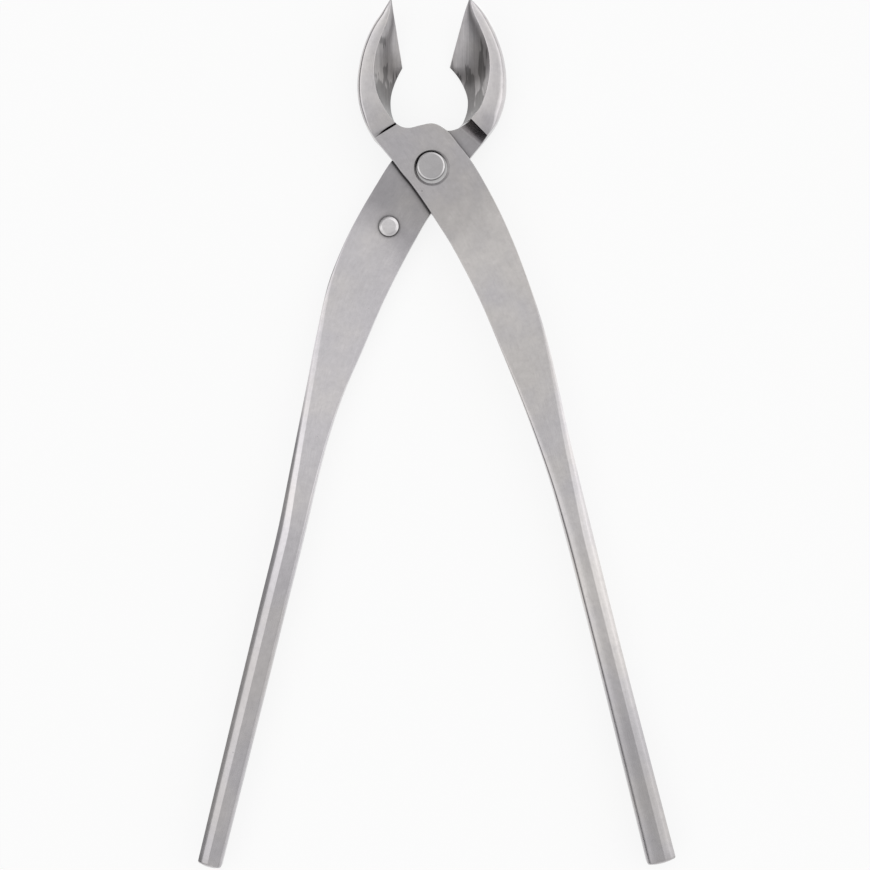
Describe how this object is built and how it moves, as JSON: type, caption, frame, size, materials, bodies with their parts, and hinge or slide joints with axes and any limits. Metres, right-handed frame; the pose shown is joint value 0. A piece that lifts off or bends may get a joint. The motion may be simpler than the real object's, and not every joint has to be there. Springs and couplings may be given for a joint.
{
  "type": "concave-jaw cutting pliers",
  "caption": "Two-arm cutting pliers with hollow-ground crescent jaws, lapped on a pivot rivet with a stop stud, and long bare steel rod handles.",
  "frame": {"origin": "on the pivot axis, at the flat face of the rivet's tail head on the tool's back", "axes": "+Z along the pivot axis towards the tool's front, +Y towards the jaw tips, +X towards the front arm's handle; jaws open by 25.7 degrees at rest"},
  "size_m": [0.1475, 0.2685, 0.0118],
  "materials": {
    "front_arm_steel": "satin ground stainless steel",
    "rear_arm_steel": "satin ground stainless steel",
    "rivet_steel": "fine turned stainless steel",
    "stud_steel": "fine turned stainless steel"
  },
  "bodies": {
    "rear_arm": {"rear_arm": "rear_arm_steel", "pivot_rivet": "rivet_steel", "stop_stud": "stud_steel"},
    "front_arm": {"front_arm": "front_arm_steel"}
  },
  "joints": [
    {"name": "jaw_pivot", "type": "hinge", "parent": "rear_arm", "child": "front_arm", "pos_m": [0, 0, 0.006], "axis": [0, 0, 1], "range_deg": [-25.7, 37]}
  ]
}
